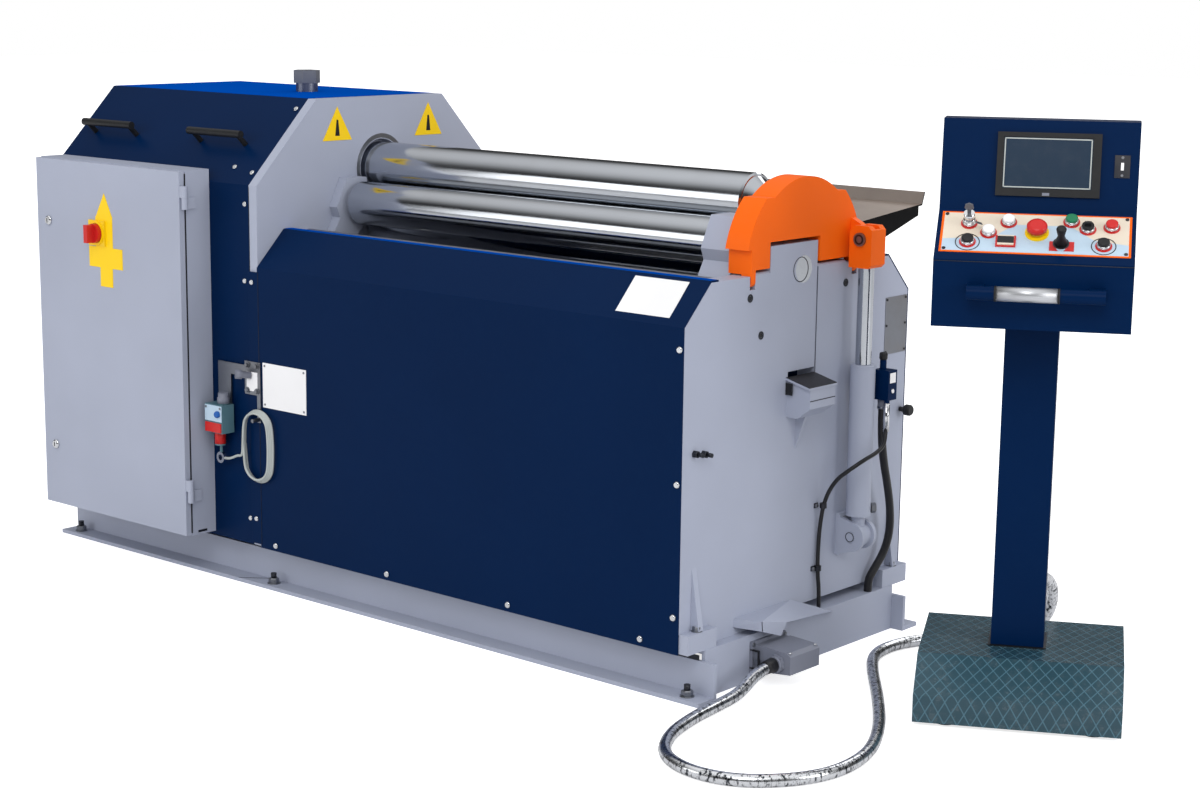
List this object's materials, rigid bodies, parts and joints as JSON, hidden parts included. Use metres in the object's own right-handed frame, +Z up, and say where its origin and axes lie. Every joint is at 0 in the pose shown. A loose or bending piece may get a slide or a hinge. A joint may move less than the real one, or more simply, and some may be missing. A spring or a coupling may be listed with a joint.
{
  "type": "four roll plate rolling machine",
  "caption": "Hydraulic plate rolling machine: four steel rolls between end plates, a tipping yoke at the drop end, drive housing, cabinet and a separate control console.",
  "frame": {"origin": "middle of the anchor hole rectangle at floor level", "axes": "+X along the rolls towards the drop end, -Y the operator's side, +Z up"},
  "size_m": [3.1332, 1.4226, 1.329],
  "materials": {
    "grey_paint": "semi-gloss grey paint",
    "navy_paint": "semi-gloss dark blue paint",
    "orange_paint": "gloss orange paint",
    "ground_steel": "ground bare steel",
    "oiled_steel": "machined and oiled steel",
    "dark_steel": "blackened steel",
    "black_plastic": "matt black moulding",
    "grey_plastic": "matt grey moulding",
    "red_plastic": "gloss red moulding",
    "yellow_plastic": "gloss yellow moulding",
    "cable_jacket": "ribbed grey jacket",
    "hose_rubber": "black hose cover",
    "rope_jacket": "pale jacket over steel rope",
    "chequer_steel": "chequered steel sheet, dark teal paint"
  },
  "bodies": {
    "frame": {"front_base_rail": "grey_paint", "rear_base_rail": "grey_paint", "right_end_beam": "grey_paint", "left_end_beam": "grey_paint", "middle_cross_beam": "grey_paint", "right_end_plate": "grey_paint", "left_frame_plate": "grey_paint", "front_plate_foot": "grey_paint", "rear_plate_foot": "grey_paint", "drive_hood": "navy_paint", "hood_handles": "black_plastic", "hood_lifting_bolt": "dark_steel", "front_cover": "navy_paint", "rear_cover": "navy_paint", "cabinet_body": "grey_paint", "cabinet_hinges": "dark_steel", "top_roll_bearing": "grey_paint", "rear_side_roll": "ground_steel", "rear_block_left": "grey_paint", "rear_block_right": "grey_paint", "torsion_shaft": "oiled_steel", "yoke_hinge_pin": "oiled_steel", "cylinder_foot": "grey_paint", "cylinder_foot_pin": "oiled_steel", "lift_cylinder_box": "grey_paint", "rear_table": "grey_paint", "connector_housing": "grey_plastic", "connector_hood": "grey_plastic", "cable_gland": "grey_plastic", "switch_bracket": "oiled_steel", "pull_switch": "grey_plastic", "console_base": "chequer_steel", "console_feet": "black_plastic", "console_column": "navy_paint", "console_head": "navy_paint", "console_handle": "black_plastic", "control_cable": "cable_jacket", "valve_block": "navy_paint", "rope_coil": "rope_jacket", "console_screen": "black_plastic", "console_buttons": "black_plastic", "thin_hose": "hose_rubber", "thick_hose": "hose_rubber", "pull_rope": "rope_jacket"},
    "cabinet_door": {"cabinet_door": "grey_paint", "isolator_plate": "yellow_plastic"},
    "isolator_knob": {"isolator_knob": "red_plastic"},
    "top_roll": {"top_roll": "ground_steel"},
    "bottom_blocks": {"bottom_block_left": "grey_paint", "bottom_block_right": "grey_paint"},
    "bottom_roll": {"bottom_roll": "ground_steel"},
    "front_side_blocks": {"front_block_left": "grey_paint", "front_block_right": "grey_paint"},
    "front_side_roll": {"front_side_roll": "ground_steel"},
    "yoke": {"drop_end_yoke": "orange_paint", "yoke_lug_pin": "oiled_steel"},
    "cylinder_barrel": {"cylinder_barrel": "grey_paint"},
    "cylinder_rod": {"cylinder_rod": "ground_steel", "rod_clevis": "orange_paint"}
  },
  "joints": [
    {"name": "top_roll_spin", "type": "hinge", "parent": "frame", "child": "top_roll", "pos_m": [0.3, 0, 1.082], "axis": [1, 0, 0], "continuous": true},
    {"name": "bottom_roll_lift", "type": "slide", "parent": "frame", "child": "bottom_blocks", "axis": [0, 0, 1], "range_m": [-0.06, 0]},
    {"name": "bottom_roll_spin", "type": "hinge", "parent": "bottom_blocks", "child": "bottom_roll", "pos_m": [0.3, 0, 0.937], "axis": [1, 0, 0], "continuous": true},
    {"name": "side_roll_lift", "type": "slide", "parent": "frame", "child": "front_side_blocks", "axis": [0, 0.5, 0.866], "range_m": [-0.08, 0.01]},
    {"name": "side_roll_spin", "type": "hinge", "parent": "front_side_blocks", "child": "front_side_roll", "pos_m": [0.3, -0.112, 0.996], "axis": [1, 0, 0], "continuous": true},
    {"name": "yoke_tip", "type": "hinge", "parent": "frame", "child": "yoke", "pos_m": [1.09, 0, 0.926], "axis": [0, 1, 0], "range_deg": [0, 45]},
    {"name": "cylinder_swing", "type": "hinge", "parent": "frame", "child": "cylinder_barrel", "pos_m": [1.146, 0.19, 0.278], "axis": [0, 1, 0], "range_deg": [0, 3.19]},
    {"name": "cylinder_stroke", "type": "slide", "parent": "cylinder_barrel", "child": "cylinder_rod", "axis": [0, 0, 1], "range_m": [-0.05713, 0]},
    {"name": "cabinet_door_swing", "type": "hinge", "parent": "frame", "child": "cabinet_door", "pos_m": [-0.475, -0.529, 0.6], "axis": [0, 0, 1], "range_deg": [0, 110]},
    {"name": "isolator_turn", "type": "hinge", "parent": "cabinet_door", "child": "isolator_knob", "pos_m": [-0.829, -0.55, 0.901], "axis": [0, 1, 0], "range_deg": [0, 90]}
  ],
  "couplings": [
    {"joint": "cylinder_swing", "follows": "yoke_tip", "ratio": 0.070692},
    {"joint": "cylinder_stroke", "follows": "yoke_tip", "m_per_rad": -0.072619}
  ]
}
